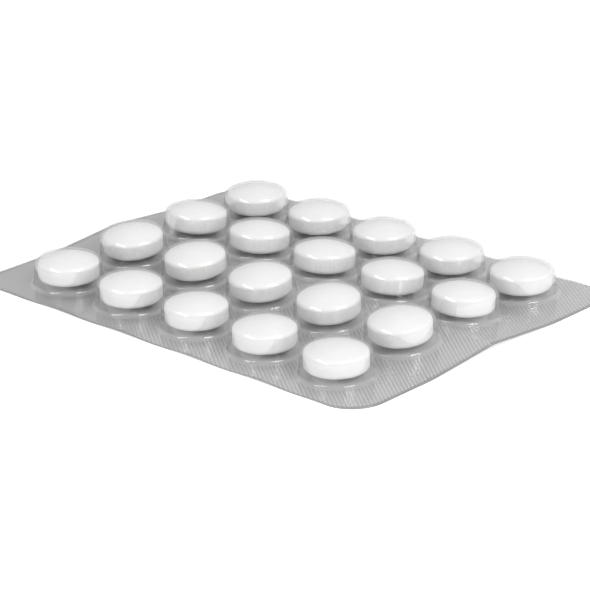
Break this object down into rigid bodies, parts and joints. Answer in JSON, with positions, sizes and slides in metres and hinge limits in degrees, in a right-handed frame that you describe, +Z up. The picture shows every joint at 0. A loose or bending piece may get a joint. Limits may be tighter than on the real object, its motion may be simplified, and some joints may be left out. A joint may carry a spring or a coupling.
{
  "type": "blister pack of tablets",
  "caption": "Clear thermoformed blister card with round biconvex tablets in drafted, domed pockets, sealed with foil and bent slightly between the pocket rows.",
  "frame": {"origin": "on the resting surface, below the middle of the card's length and width", "axes": "+X along the rows of pockets, the card's long side; +Y across the rows; +Z up, from the foil to the pockets"},
  "size_m": [0.1, 0.0752, 0.0074],
  "materials": {
    "film": "glossy clear",
    "foil": "satin",
    "tablet": "smooth film coat, soft sheen"
  },
  "bodies": {
    "root": {"forming_film": "film", "lidding_foil": "foil", "tablet_r1c1": "tablet", "tablet_r1c2": "tablet", "tablet_r1c3": "tablet", "tablet_r1c4": "tablet", "tablet_r1c5": "tablet", "tablet_r2c1": "tablet", "tablet_r2c2": "tablet", "tablet_r2c3": "tablet", "tablet_r2c4": "tablet", "tablet_r2c5": "tablet", "tablet_r3c1": "tablet", "tablet_r3c2": "tablet", "tablet_r3c3": "tablet", "tablet_r3c4": "tablet", "tablet_r3c5": "tablet", "tablet_r4c1": "tablet", "tablet_r4c2": "tablet", "tablet_r4c3": "tablet", "tablet_r4c4": "tablet", "tablet_r4c5": "tablet"}
  },
  "joints": []
}
